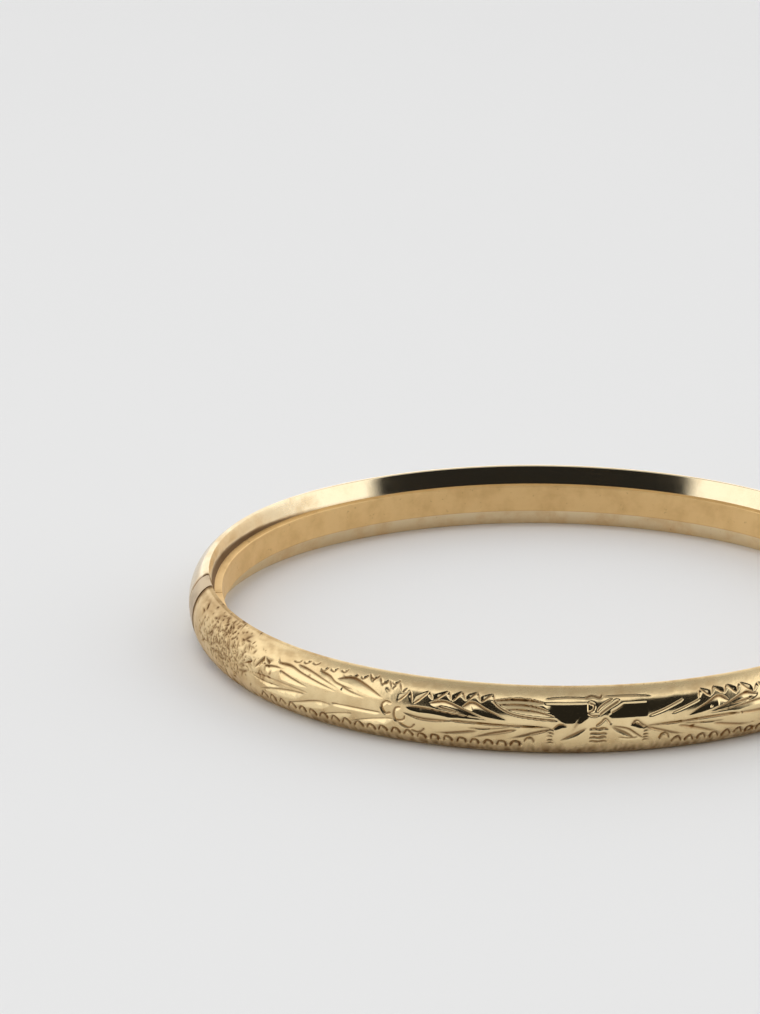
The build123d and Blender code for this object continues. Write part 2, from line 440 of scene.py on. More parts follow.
# Soft random unevenness, as many crossing waves
def unevenness(along, across, shortest, longest, count, seed):
    chance = np.random.default_rng(seed)
    total = np.zeros(np.broadcast(along, across).shape)
    for wave in range(count):
        length = shortest * (longest / shortest) ** chance.random()
        heading = chance.random() * 2 * math.pi
        phase = chance.random() * 2 * math.pi
        travel = along * math.cos(heading) + across * math.sin(heading)
        total += np.sin(travel * 2 * math.pi / length + phase)
    return total / math.sqrt(count)


# One curved graver stroke through its points, sampled evenly
def strokePath(points, spacing=0.09):
    points = np.array(points, float)
    if len(points) == 2:
        guide = points
    else:
        padded = np.vstack([2 * points[0] - points[1], points, 2 * points[-1] - points[-2]])
        steps = np.linspace(0, 1, 12, endpoint=False)[:, None]
        guide = []
        for before, start, end, after in zip(padded, padded[1:], padded[2:], padded[3:]):
            guide.append(0.5 * (
                2 * start
                + (end - before) * steps
                + (2 * before - 5 * start + 4 * end - after) * steps**2
                + (3 * start - before - 3 * end + after) * steps**3
            ))
        guide = np.vstack([*guide, points[-1:]])
    length = np.concatenate([[0], np.cumsum(np.hypot(*np.diff(guide, axis=0).T))])
    count = max(2, int(length[-1] / spacing) + 1)
    even = np.linspace(0, length[-1], count)
    return np.stack([np.interp(even, length, guide[:, 0]), np.interp(even, length, guide[:, 1])], -1)


# How far a cut leans, and how wide the dark root at its bottom is (tarnish, deepened as painted shade),
# in millimetres
graver = {"leanShare": 0.38, "rootLeast": 0.045, "rootShare": 0.16, "rootFade": 1.25, "rootDepth": 0.09}

# Width along a stroke from 0 to 1, for each kind of graver cut
strokeSwell = {
    "leaf": lambda part: np.minimum(part / 0.16, 1) ** 0.6 * (1 - part) ** 0.7,
    "wedge": lambda part: np.minimum(part / 0.55, 1) ** 0.8 * np.minimum((1 - part) / 0.2, 1) ** 0.6,
    "line": lambda part: np.minimum(part / 0.1, 1) ** 0.5 * np.minimum((1 - part) / 0.1, 1) ** 0.5,
    "lens": lambda part: np.sin(np.pi * part) ** 0.7,
    "tooth": lambda part: np.minimum(part / 0.3, 1) ** 0.7 * (1 - part) ** 0.5,
}


# Lower the height field along one stroke; the cut leans so that one side is broad and one steep
def cutStroke(field, along, across, stroke):
    path = strokePath(stroke["points"])
    part = np.linspace(0, 1, len(path))
    wide = stroke["width"] * np.maximum(strokeSwell[stroke["kind"]](part), 0.05)
    reach = stroke["width"]
    firstColumn = np.searchsorted(along, path[:, 0].min() - reach)
    lastColumn = np.searchsorted(along, path[:, 0].max() + reach)
    firstRow = np.searchsorted(across, path[:, 1].min() - reach)
    lastRow = np.searchsorted(across, path[:, 1].max() + reach)
    if firstColumn >= lastColumn or firstRow >= lastRow:
        return
    gridAlong = along[firstColumn:lastColumn, None]
    gridAcross = across[None, firstRow:lastRow]
    nearest = np.full((lastColumn - firstColumn, lastRow - firstRow), 1e9)
    signed = np.zeros_like(nearest)
    width = np.full_like(nearest, 1e-3)
    for start, end, wideStart, wideEnd in zip(path, path[1:], wide, wide[1:]):
        step = end - start
        size = float(step @ step) or 1e-9
        share = ((gridAlong - start[0]) * step[0] + (gridAcross - start[1]) * step[1]) / size
        share = np.clip(share, 0, 1)
        offAlong = gridAlong - start[0] - share * step[0]
        offAcross = gridAcross - start[1] - share * step[1]
        gap = np.hypot(offAlong, offAcross)
        side = np.where(step[0] * offAcross - step[1] * offAlong >= 0, gap, -gap)
        closer = gap < nearest
        nearest = np.where(closer, gap, nearest)
        signed = np.where(closer, side, signed)
        width = np.where(closer, wideStart + (wideEnd - wideStart) * share, width)
    leanShare = 0.5 + graver["leanShare"] * stroke["lean"]
    shallow = np.where(signed >= 0, width * leanShare, width * (1 - leanShare))
    fall = 1 - nearest / np.maximum(shallow, 1e-4)
    cutDepth = stroke["depth"] * width / stroke["width"]
    cut = np.maximum(fall, 0) * cutDepth
    window = (slice(firstColumn, lastColumn), slice(firstRow, lastRow))
    field["cut"][window] = np.maximum(field["cut"][window], cut)
    # Dark root along the bottom of the cut: tarnish, darkened further as painted shade
    rootWidth = graver["rootLeast"] + graver["rootShare"] * width
    root = np.clip(graver["rootFade"] - nearest / rootWidth, 0, 1)
    root = root * np.clip(cutDepth / graver["rootDepth"], 0, 1)
    field["root"][window] = np.maximum(field["root"][window], root)


def groove(kind, width, depth, lean, *points):
    return {"kind": kind, "width": width, "depth": depth, "lean": lean, "points": points}


# Engraved pattern of one side of the front half, in millimetres along the crest and across it.
# It is drawn for the hinge side and mirrored about the middle for the clasp side.
engraving = {
    "seed": 41,
    "handShake": 0.035,
    "spacingAlong": 0.06,
    "spacingAcross": 0.06,
    "spacingInside": 0.5,
    "ground": 0.007,
    "wornGround": 0.0035,
    "seamDip": 0.05,
    "patchRuggedness": 2.6,
    "pitTarnish": 0.8,
    "rootTarnishAndShade": 0.85,
}

panelLeaves = [
    # leaves over the stem of the outer panel
    groove("leaf", 0.85, 0.2, -0.9, (-30.6, 1.05), (-29.6, 1.3), (-28.4, 1.4)),
    groove("leaf", 0.9, 0.21, -0.9, (-28.8, 1.25), (-27.6, 0.95), (-25.6, 0.55)),
    groove("leaf", 1.0, 0.24, -0.9,
           (-29.2, 1.7), (-27.8, 1.92), (-26.6, 1.65), (-24.8, 1.25), (-22.8, 0.9)),
    groove("leaf", 0.8, 0.18, -0.9, (-27.0, 2.25), (-25.6, 1.95), (-24.0, 1.6), (-22.4, 1.15)),
    groove("leaf", 0.9, 0.22, -0.9, (-24.6, 2.2), (-23.6, 2.05), (-22.8, 1.65), (-21.0, 1.35)),
    groove("lens", 0.95, 0.22, -0.9, (-22.8, 1.9), (-21.4, 2.35), (-20.2, 2.0), (-18.4, 1.15)),
    groove("leaf", 0.6, 0.14, -0.8, (-22.4, 1.55), (-21.4, 1.2), (-19.9, 0.95)),
    groove("wedge", 0.5, 0.16, 0.6, (-33.4, 0.45), (-32.3, 0.95)),
    groove("wedge", 0.5, 0.16, -0.7, (-31.9, 0.4), (-31.5, 1.0), (-30.9, 1.85)),
    groove("wedge", 0.5, 0.15, 0.7, (-30.8, 1.9), (-30.1, 1.3)),
    groove("wedge", 0.4, 0.12, -0.7, (-29.3, 2.3), (-29.0, 1.9), (-28.6, 1.8)),
    # rising wedge cuts under the stem
    groove("wedge", 0.46, 0.17, -0.9, (-32.3, -0.12), (-30.6, -0.28), (-28.7, -0.22)),
    groove("wedge", 0.8, 0.31, -0.9, (-31.2, -1.2), (-29.4, -0.75), (-27.6, -0.35), (-25.9, -0.1)),
    groove("wedge", 0.8, 0.31, -0.9, (-27.9, -1.5), (-26.2, -0.95), (-24.6, -0.55), (-23.2, -0.4)),
    groove("wedge", 0.6, 0.24, -0.9, (-24.2, -1.6), (-22.8, -1.15), (-21.2, -0.75)),
    groove("wedge", 0.66, 0.27, -0.9, (-21.4, -1.6), (-19.8, -1.1), (-17.4, -0.45)),
    groove("line", 0.36, 0.14, -0.9, (-23.2, -0.2), (-21.5, -0.2), (-18.5, -0.08)),
    groove("line", 0.3, 0.07, 0.6, (-32.2, 0.1), (-29.0, 0.22), (-25.5, 0.12)),
    # curls between the panels
    groove("line", 0.4, 0.15, 0.5,
           (-17.5, 0.85), (-18.1, 0.95), (-18.45, 0.45), (-18.1, -0.05), (-17.5, 0.05)),
    groove("line", 0.4, 0.15, 0.5,
           (-16.7, 0.65), (-17.1, 0.5), (-17.35, -0.1),
           (-17.1, -0.65), (-16.5, -0.45), (-16.3, -0.05)),
    groove("line", 0.36, 0.13, 0.5, (-16.9, -0.75), (-16.5, -1.1), (-15.9, -1.2), (-15.4, -0.7)),
    groove("line", 0.34, 0.12, 0.5, (-15.9, -1.35), (-15.2, -1.55), (-14.8, -1.3), (-14.6, -0.95)),
    # leaves of the inner panel
    groove("leaf", 0.75, 0.17, -0.9, (-16.2, 0.8), (-14.4, 0.82), (-12.4, 0.62), (-9.0, 0.4)),
    groove("leaf", 0.95, 0.22, -0.9, (-14.3, 1.35), (-13.0, 1.55), (-11.6, 1.15), (-9.4, 0.5)),
    groove("leaf", 0.6, 0.15, 0.8, (-13.8, 1.15), (-12.4, 0.95), (-10.4, 0.62)),
    groove("leaf", 1.15, 0.24, -0.9, (-11.5, 1.3), (-10.6, 1.75), (-9.4, 1.25), (-7.6, 0.45)),
    groove("lens", 0.75, 0.16, 0.85, (-16.5, 0.3), (-15.2, -0.05), (-14.0, -0.12), (-12.2, 0.02)),
    groove("line", 0.34, 0.12, 0.8, (-12.6, 0.0), (-9.5, 0.02), (-6.5, -0.04), (-4.0, -0.12)),
    groove("wedge", 0.7, 0.14, 0.85, (-14.2, -1.3), (-12.4, -1.15), (-10.0, -0.65)),
    groove("wedge", 0.7, 0.16, 0.85, (-10.9, -1.5), (-9.4, -1.05), (-8.4, -0.8), (-6.8, -0.35)),
    groove("wedge", 0.7, 0.16, 0.85, (-7.7, -1.3), (-6.2, -0.95), (-3.9, -0.25)),
    groove("line", 0.26, 0.08, 0.6, (-11.0, -0.45), (-9.0, -0.4), (-7.4, -0.2)),
    # petals of the middle motif
    groove("lens", 0.75, 0.18, 0.3, (-3.2, -1.4), (-2.3, -0.85), (-1.0, -0.05)),
    groove("lens", 0.5, 0.13, -0.6, (-4.0, -0.3), (-3.2, 0.15), (-2.6, 0.1)),
    groove("line", 0.2, 0.05, 0.5, (-4.6, 2.3), (-2.6, 2.5), (-0.4, 2.45)),
]

# Strokes that have no mirror image: a broad ribbed leaf on the hinge side, long cuts on the clasp side
middleStrokes = [
    groove("line", 0.34, 0.12, 0.8,
           (-9.0, 2.1), (-8.2, 1.45), (-7.0, 0.95), (-5.0, 0.68), (-3.4, 0.55)),
    groove("lens", 0.7, 0.24, -0.9, (-9.0, 2.0), (-7.2, 2.25), (-5.6, 2.2), (-4.4, 1.95)),
    groove("lens", 0.62, 0.24, -0.9, (-8.6, 1.72), (-7.0, 1.8), (-5.6, 1.72), (-4.0, 1.3)),
    groove("lens", 0.55, 0.22, -0.9, (-8.0, 1.35), (-6.6, 1.38), (-5.2, 1.25), (-3.6, 0.85)),
    groove("line", 0.24, 0.09, -0.7, (4.2, 0.75), (5.6, 1.2), (7.4, 1.95)),
    groove("line", 0.22, 0.08, -0.7, (6.2, 0.8), (7.4, 1.2), (8.9, 1.75)),
    groove("line", 0.42, 0.14, 0.5, (0.0, 1.0), (0.8, 1.6), (1.8, 2.2)),
    groove("line", 0.36, 0.12, 0.5, (1.0, 1.15), (1.6, 1.45), (2.2, 1.85)),
    groove("line", 0.34, 0.11, -0.5, (-0.2, 1.3), (0.4, 1.9), (1.2, 2.35)),
    groove("lens", 0.7, 0.15, -0.8, (1.0, 0.05), (2.4, -0.3), (3.2, -0.85), (4.0, -1.45)),
    groove("line", 0.3, 0.09, -0.8, (1.7, -1.1), (2.6, -1.25), (3.4, -1.2)),
    groove("line", 0.36, 0.13, 0.5, (2.7, 0.0), (3.2, 0.4), (3.7, 0.05), (4.3, -0.35)),
    groove("line", 0.34, 0.13, 0.5, (-0.3, 0.0), (0.2, 0.35), (0.55, 0.7), (0.9, 0.35), (1.0, 0.1)),
    groove("line", 0.34, 0.12, 0.5,
           (-0.9, 2.1), (-0.4, 1.85), (-0.5, 1.4), (-0.9, 1.2), (-0.5, 0.95), (0.0, 1.0)),
    groove("line", 0.3, 0.11, -0.5, (-1.2, 2.4), (-0.6, 2.65), (0.1, 2.45), (0.3, 2.75)),
]

petalShape = {"domeRadius": 3.8, "fullSpan": 0.6, "wallSpan": 0.12}

# Broad flat cuts beside the middle, deepest along their upper edges
flatPetals = [
    {
        "upper": [(-4.8, 1.9), (-0.9, 1.95)],
        "lower": [(-4.8, 1.9), (-3.7, 0.9), (-2.9, 0.3), (-1.5, 0.3), (-0.9, 0.8)],
        "tilt": 0.10,
    },
    {
        "upper": [(0.8, 0.9), (2.1, 1.9), (4.1, 1.88)],
        "lower": [(0.8, 0.85), (1.1, 0.72), (4.1, 0.75)],
        "tilt": 0.08,
    },
]

# Points that the bold zigzag over the inner panel runs between
zigzagPeaks = [(-16.0, 2.15), (-14.35, 2.3), (-12.65, 2.5), (-11.5, 2.6), (-10.2, 2.65), (-8.9, 2.6)]
zigzagValleys = [
    (-17.0, 1.1), (-15.65, 1.05), (-13.9, 1.6), (-12.3, 1.75),
    (-11.1, 1.85), (-9.9, 1.85), (-8.75, 1.75),
]


def offsetPoints(left, level, steps):
    return [(left + step, level + rise) for step, rise in steps]


# Strokes that repeat along the band
def repeatedStrokes():
    strokes = []
    for number, peak in enumerate(zigzagPeaks):  # bold zigzag over the inner panel
        rising = [zigzagValleys[number], peak]
        falling = [peak, zigzagValleys[number + 1]]
        strokes.append(groove("tooth", 0.52, 0.17, 0.8, *rising))
        strokes.append(groove("tooth", 0.4, 0.13, -0.7, *falling))
    for dash in range(11):  # short hooked dashes over the outer panel
        left = -27.6 + 0.98 * dash
        level = 2.42 + 0.16 * (dash % 3)
        hook = offsetPoints(left, level, [(0, 0.02), (0.35, -0.1), (0.62, 0.06), (0.78, 0.34)])
        strokes.append(groove("line", 0.26, 0.09, 0.6, *hook))
    for dash in range(4):  # hooks that climb to the zigzag
        left = -19.9 + 0.95 * dash
        top = (left, 3.0 - 0.12 * dash)
        foot = (left + 0.35, 2.3 - 0.15 * dash)
        strokes.append(groove("tooth", 0.36, 0.12, 0.6, top, foot))
        strokes.append(groove("tooth", 0.36, 0.12, -0.6, foot, (left + 0.8, 2.75 - 0.15 * dash)))
    for scallop in range(23):  # wavy lower border
        left = -31.5 + 1.15 * scallop
        level = -2.05 if left < -16 else -2.15
        if left > -7.5:
            level += 0.45 * (left + 7.5)
        if left > -5.0:
            break
        arch = offsetPoints(left, level, [(0, -0.1), (0.28, 0.42), (0.62, 0.38), (0.85, -0.12)])
        strokes.append(groove("line", 0.4, 0.15, 0.6, *arch))
    for rung in range(4):  # little curls down the middle
        level = -0.15 - 0.42 * rung
        rungPoints = [(-0.55, level), (-0.1, level - 0.14), (0.35, level - 0.02), (0.8, level - 0.12)]
        strokes.append(groove("line", 0.26, 0.1, 0.5, *rungPoints))
    for dash in range(5):
        level = -0.35 - 0.33 * dash
        curl = offsetPoints(-4.5, level, [(0, 0), (0.4, 0.12), (0.8, -0.02)])
        strokes.append(groove("wedge", 0.26, 0.09, 0.5, *curl))
    return strokes


# Flat facet between two lines across the band, with a short steep wall above it
def cutPetal(field, along, across, petal):
    upper = np.array(petal["upper"])
    lower = np.array(petal["lower"])
    high = np.interp(along, upper[:, 0], upper[:, 1])[:, None]
    low = np.interp(along, lower[:, 0], lower[:, 1])[:, None]
    within = (along >= lower[0, 0]) & (along <= lower[-1, 0])
    span = np.maximum(high - low, 1e-3)
    share = (across[None, :] - low) / span
    middleGap = (share - 0.5) * span
    flatten = ((span / 2) ** 2 - middleGap**2) / (2 * petalShape["domeRadius"])
    tilt = np.minimum(span / petalShape["fullSpan"], 1) * petal["tilt"]
    ramp = tilt * share + flatten
    wall = tilt * (1 - (across[None, :] - high) / petalShape["wallSpan"])
    cut = np.where(share > 1, np.maximum(wall, 0), np.where(share >= 0, ramp, 0)) * within[:, None]
    field["cut"] = np.maximum(field["cut"], cut)


def engravedHeights(along, across):
    shape = (len(along), len(across))
    field = {"cut": np.zeros(shape), "pit": np.zeros(shape), "root": np.zeros(shape)}
    chance = np.random.default_rng(engraving["seed"])
    for side in (1, -1):  # the hinge side, then its mirror image
        for stroke in panelLeaves + repeatedStrokes():
            points = np.array(stroke["points"], float)
            points += chance.normal(0, engraving["handShake"], points.shape)
            points[:, 0] *= side
            drawn = {**stroke, "points": points, "lean": stroke["lean"] * side}
            drawn["depth"] = stroke["depth"] * (0.9 + 0.25 * chance.random())
            cutStroke(field, along, across, drawn)
    for petal in flatPetals:
        cutPetal(field, along, across, petal)
    for stroke in middleStrokes:
        cutStroke(field, along, across, stroke)
    return field


# Corroded pits and short wrinkles near the hinge, thinning out along the band
pitting = {
    "seed": 7,
    "count": 520,
    "middle": -36.8,
    "spread": 2.7,
    "level": 0.8,
    "levelSpread": 1.15,
    "stray": 26,
    "strayAlong": 45.2,
    "strayLow": -2.2,
    "strayHigh": 2.9,
    "size": 0.04,
    "sizeSpan": 0.12,
    "stretch": 3.2,
    "reach": 2.6,
    "depth": 0.085,
}


def pitHeights(field, along, across):
    chance = np.random.default_rng(pitting["seed"])
    for number in range(pitting["count"] + pitting["stray"]):
        if number < pitting["count"]:
            placeAlong = chance.normal(pitting["middle"], pitting["spread"])
            place = (placeAlong, chance.normal(pitting["level"], pitting["levelSpread"]))
        else:
            placeAlong = chance.uniform(-pitting["strayAlong"], pitting["strayAlong"])
            place = (placeAlong, chance.uniform(pitting["strayLow"], pitting["strayHigh"]))
        size = pitting["size"] + pitting["sizeSpan"] * chance.random() ** 2
        stretch = 1 + pitting["stretch"] * chance.random() ** 2
        heading = chance.random() * math.pi
        reach = size * pitting["reach"] * stretch
        columns = slice(*np.searchsorted(along, (place[0] - reach, place[0] + reach)))
        rows = slice(*np.searchsorted(across, (place[1] - reach, place[1] + reach)))
        gapAlong = along[columns, None] - place[0]
        gapAcross = across[None, rows] - place[1]
        if gapAlong.size == 0 or gapAcross.size == 0:
            continue
        lengthwise = (gapAlong * math.cos(heading) + gapAcross * math.sin(heading)) / (size * stretch)
        sideways = (gapAcross * math.cos(heading) - gapAlong * math.sin(heading)) / size
        dip = np.exp(-(lengthwise**2) - sideways**2) * (0.5 + 0.5 * chance.random())
        field["pit"][columns, rows] = np.maximum(field["pit"][columns, rows], dip)


# Wear, stains and painted shade of the front shell, in millimetres along the crest and across it
frontAge = {
    "wornFrom": 14.0,
    "wornSpan": 18.0,
    "leastWear": 0.12,
    "shoulderFrom": 2.2,
    "shoulderSpan": 0.5,
    "shoulderWear": 0.8,
    "lowerFrom": 0.3,
    "lowerSpan": 1.0,
    "lowerWear": 0.7,
    "wallFrom": 3.4,
    "wallWear": 2.4,
    "faintFrom": 1.4,
    "faintSpan": 0.6,
    "faintStainAndShade": 0.3,
    "deepFrom": 1.9,
    "deepSpan": 0.8,
    "deepStainAndShade": 0.5,
    "stainShadeEnd": -3.1,
    "stainShadeFade": 0.12,
    "filmFrom": 31.0,
    "filmSpan": 8.0,
    "filmStain": 0.20,
    "seamWidth": 0.42,
    "seamStain": 0.5,
    "mottleFrom": 2.0,
    "mottleFadeIn": 0.6,
    "mottleEnd": 3.2,
    "mottleFadeOut": 0.2,
    "mottleLeast": 0.03,
    "mottleSpan": 0.17,
    "patchSpread": 5.0,
    "polishDepth": 0.03,
}


# Worn share of the surface: most near the hinge and along the upper shoulder, least in the middle
def wearAlong(along, across):
    endward = fadeIn(np.abs(along), frontAge["wornFrom"], frontAge["wornSpan"])[:, None]
    shoulder = fadeIn(across, frontAge["shoulderFrom"], frontAge["shoulderSpan"])
    shoulder = shoulder[None, :] * frontAge["shoulderWear"]
    lower = fadeIn(-across, frontAge["lowerFrom"], frontAge["lowerSpan"])
    lower = lower[None, :] * frontAge["lowerWear"]
    general = frontAge["leastWear"] + (1 - frontAge["leastWear"]) * endward
    return np.clip(np.maximum(np.maximum(general, shoulder), lower), 0, 1)


# Brown stain and painted shade along the lower shoulder, darker towards the lower edge, broken up by
# short streaks
def lowerStainAndShade(along, across):
    streaks = unevenness(
        along[:, None], across[None, :] * 0.35, shortest=0.35, longest=1.6, count=30, seed=9
    )
    streaks = 0.5 + 0.5 * np.clip(streaks, -1, 1)
    light = frontAge["faintStainAndShade"] * fadeIn(-across, frontAge["faintFrom"], frontAge["faintSpan"])
    deep = frontAge["deepStainAndShade"] * fadeIn(-across, frontAge["deepFrom"], frontAge["deepSpan"])
    onSide = fadeIn(across, frontAge["stainShadeEnd"], frontAge["stainShadeFade"])
    # The painted shade deepens the brown towards the lower edge
    stainAndShade = light[None, :] * streaks + deep[None, :] * (0.6 + 0.4 * streaks)
    return stainAndShade * onSide[None, :]


# Blotchy film along the upper shoulder
def upperStain(along, across):
    shoulder = fadeIn(across, frontAge["mottleFrom"], frontAge["mottleFadeIn"])
    shoulder = shoulder * fadeIn(-across, -frontAge["mottleEnd"], frontAge["mottleFadeOut"])
    mottle = unevenness(
        along[:, None] * 0.4, across[None, :], shortest=0.25, longest=1.6, count=30, seed=13
    )
    mottle = 0.5 + 0.5 * np.clip(mottle, -1, 1)
    return shoulder[None, :] * (frontAge["mottleLeast"] + frontAge["mottleSpan"] * mottle)


def makeFrontShell():
    spacing = engraving["spacingAlong"] * 1
    step = engraving["spacingAcross"] * 1
    section = closedSection(step, engraving["spacingInside"])
    across, innerAcross = section[2], section[5]
    endAngle = 90 - bangle["collarAngle"]
    end = sideRun + crestEndRadius * math.radians(endAngle - (90 - blendAngle))
    along = np.linspace(-end, end, round(2 * end / spacing) + 1)
    field = engravedHeights(along, across)
    pitHeights(field, along, across)
    wavy = unevenness(along[:, None], across[None, :], shortest=1.5, longest=9.0, count=26, seed=5)
    rough = unevenness(along[:, None], across[None, :], shortest=0.25, longest=1.2, count=40, seed=6)
    wear = wearAlong(along, across)
    seam = np.exp(-(((end - np.abs(along)) / frontAge["seamWidth"]) ** 2))[:, None]
    film = fadeIn(-along, frontAge["filmFrom"], frontAge["filmSpan"])[:, None]
    patch = np.exp(-(((along - pitting["middle"]) / frontAge["patchSpread"]) ** 2))[:, None]
    rough = rough * engraving["wornGround"] * wear * (1 + engraving["patchRuggedness"] * patch)
    lift = wavy * engraving["ground"] + rough - field["cut"] - pitting["depth"] * field["pit"]
    lift = (lift - engraving["seamDip"] * seam) * domeShare(across)[None, :]
    allDepth, allHeight = liftSections(section, lift)
    # Tarnish in the pits and cut roots, with painted shade in the cut roots and along the lower
    # shoulder
    tarnish = field["pit"] * engraving["pitTarnish"] + field["root"] * engraving["rootTarnishAndShade"]
    tarnish = tarnish + lowerStainAndShade(along, across) + upperStain(along, across)
    tarnish = np.clip(tarnish + frontAge["filmStain"] * film + frontAge["seamStain"] * seam, 0, 1)
    wear = np.where(np.abs(across) > frontAge["wallFrom"], frontAge["wallWear"], wear)
    polish = np.clip(field["cut"] / frontAge["polishDepth"], 0, 1)
    allAcross = np.concatenate([across, innerAcross])[None, :]
    fields = pointFields(
        allDepth.shape, along, across=allAcross, tarnish=tarnish, polish=polish, wear=wear
    )
    piece = sweepBand("frontShellEngraved", angleAtCrest(along), allDepth, allHeight, fields, 60)
    giveFinish(piece, "engravedGold")
    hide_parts("front_shell")
    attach(piece, "front_half")
    print("front shell", len(piece.data.polygons))
    return piece


# Relief that lets the halves open, and the coves round the knuckles, in millimetres and degrees
hingeRelief = {
    "reach": 3.0,
    "angle": 20.5,
    "heights": (-1, 7),
    "coves": ((1.3, 2.4, 0.6), (2.4, 3.6, 0.68), (3.6, 4.7, 0.6)),  # lower end, upper end, radius
    "coveSides": 48,
}


def makeCutter(name, places, faces):
    mesh = bpy.data.meshes.new(name)
    mesh.from_pydata(places, [], faces)
    cutter = bpy.data.objects.new(name, mesh)
    bpy.context.scene.collection.objects.link(cutter)
    return cutter


def hingeCutters():
    pivotX = -(bangle["halfLength"] + bangle["pivotDepth"])
    run = hingeRelief["reach"]
    half = run * math.tan(math.radians(hingeRelief["angle"]))
    corners = [(pivotX, 0.0), (pivotX - run, half), (pivotX - run, -half)]
    places = [(x * mm, y * mm, z * mm) for z in hingeRelief["heights"] for x, y in corners]
    faces = [(2, 1, 0), (3, 4, 5), (1, 4, 3, 0), (2, 5, 4, 1), (0, 3, 5, 2)]
    cutters = [makeCutter("reliefCutter", places, faces)]
    around = hingeRelief["coveSides"]
    turn = [2 * math.pi * k / around for k in range(around)]
    for low, high, radius in hingeRelief["coves"]:
        ring = [((pivotX + radius * math.cos(a)) * mm, radius * math.sin(a) * mm) for a in turn]
        places = [(*point, z * mm) for z in (low, high) for point in ring]
        faces = [tuple(range(around))[::-1], tuple(range(around, 2 * around))]
        faces += [(k, (k + 1) % around, around + (k + 1) % around, around + k) for k in range(around)]
        cutters.append(makeCutter("coveCutter", places, faces))
    return cutters


def carve(piece, cutters):
    for number, cutter in enumerate(cutters):
        tool = piece.modifiers.new(f"carve{number}", "BOOLEAN")
        tool.operation = "DIFFERENCE"
        tool.solver = "EXACT"
        tool.object = cutter
    depsgraph = bpy.context.evaluated_depsgraph_get()
    carved = bpy.data.meshes.new_from_object(piece.evaluated_get(depsgraph))
    piece.modifiers.clear()
    piece.data = carved
    for cutter in cutters:
        bpy.data.objects.remove(cutter)


# Back shell: polished, with film and stains that thicken towards the hinge, and painted shade at the
# foot of the inner wall by the lip, in millimetres
plainShell = {
    "spacingAcross": 0.2,
    "spacingInside": 0.5,
    "stations": 353,
    "denseStations": 25,
    "denseFrom": 176,  # degrees; stations are closer together from here to the hinge
    "waviness": 0.006,
    "seamDip": 0.12,
    "seamWidth": 0.42,
    "seamStain": 0.95,
    "film": 0.16,
    "filmReach": 26,
    "footInset": 0.22,
    "footRise": 0.9,
    "footReach": 30,
    "footFade": 0.25,
    "footShade": 0.8,
    "footShadeStrength": 1.35,
    "footThins": 32,
    "wear": 0.2,
    "wallFrom": 3.3,
    "claspWallFrom": 72,
    "claspWallSpan": 8,
    "claspWallWear": 1.6,
    "hingeWallEnd": 32,
    "hingeWallSpan": 10,
    "hingeWallWear": 2.6,
    "lowerWallFrom": 3.35,
    "lowerWallWear": 3.5,
}


def makeBackShell():
    section = closedSection(plainShell["spacingAcross"], plainShell["spacingInside"])
    across, innerAcross = section[2], section[5]
    allAcross = np.concatenate([across, innerAcross])[None, :]
    gap = math.degrees(bangle["seamGap"] / 2 / (bangle["endRadius"] + 2))
    plain = np.linspace(gap, plainShell["denseFrom"], plainShell["stations"])
    dense = np.linspace(plainShell["denseFrom"], 180 - gap, plainShell["denseStations"])
    angles = np.concatenate([plain, dense[1:]])
    along = (angles - 90) / 90 * quarterRun
    fromHinge = ((180 - gap - angles) / 90 * quarterRun)[:, None]
    wavy = unevenness(along[:, None], across[None, :], shortest=3.0, longest=16.0, count=18, seed=11)
    seam = np.exp(-((fromHinge / plainShell["seamWidth"]) ** 2))
    onDome = domeShare(across)[None, :]
    lift = (wavy * plainShell["waviness"] - plainShell["seamDip"] * seam) * onDome
    allDepth, allHeight = liftSections(section, lift)
    # Painted shade at the foot of the wall by the lip, reaching higher and darker towards the hinge
    rise = np.clip(1 - fromHinge / plainShell["footReach"], 0, 1)
    foot = across[-1] - plainShell["footInset"] - plainShell["footRise"] * rise
    strength = plainShell["footShadeStrength"] - fromHinge / plainShell["footThins"]
    stainAndShade = fadeIn(np.abs(across)[None, :], foot, plainShell["footFade"])
    stainAndShade = stainAndShade * np.clip(strength, 0, plainShell["footShade"])
    film = plainShell["film"] * (1 + np.clip(1 - fromHinge / plainShell["filmReach"], 0, 1))
    stainAndShade = stainAndShade + film * onDome * (np.abs(across) < plainShell["wallFrom"])[None, :]
    stainAndShade = np.clip(stainAndShade + plainShell["seamStain"] * seam, 0, 1)
    nearClasp = fadeIn(fromHinge, plainShell["claspWallFrom"], plainShell["claspWallSpan"])
    nearHinge = fadeIn(-fromHinge, -plainShell["hingeWallEnd"], plainShell["hingeWallSpan"])
    wallWear = plainShell["wear"] + plainShell["claspWallWear"] * nearClasp
    wallWear = wallWear + plainShell["hingeWallWear"] * nearHinge
    wear = np.where(np.abs(allAcross) > plainShell["wallFrom"], wallWear, plainShell["wear"])
    wear = np.where(allAcross < -plainShell["lowerWallFrom"], plainShell["lowerWallWear"], wear)
    none = np.zeros((1, 1))
    fields = pointFields(
        allDepth.shape, along, across=allAcross, tarnish=stainAndShade, polish=none, wear=wear
    )
    piece = sweepBand("backShellPlain", angles, allDepth, allHeight, fields, 40)
    carve(piece, hingeCutters())
    giveFinish(piece, "polishedGold")
    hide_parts("back_shell")
    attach(piece, "back_half")
    print("back shell", len(piece.data.polygons))
    return piece


# Liner: a shallow channel with softened corners, its face slightly worn hollow
liner = {"sheet": 0.3, "rounding": 0.1, "hollow": 0.004, "wear": 0.5, "stations": 361}


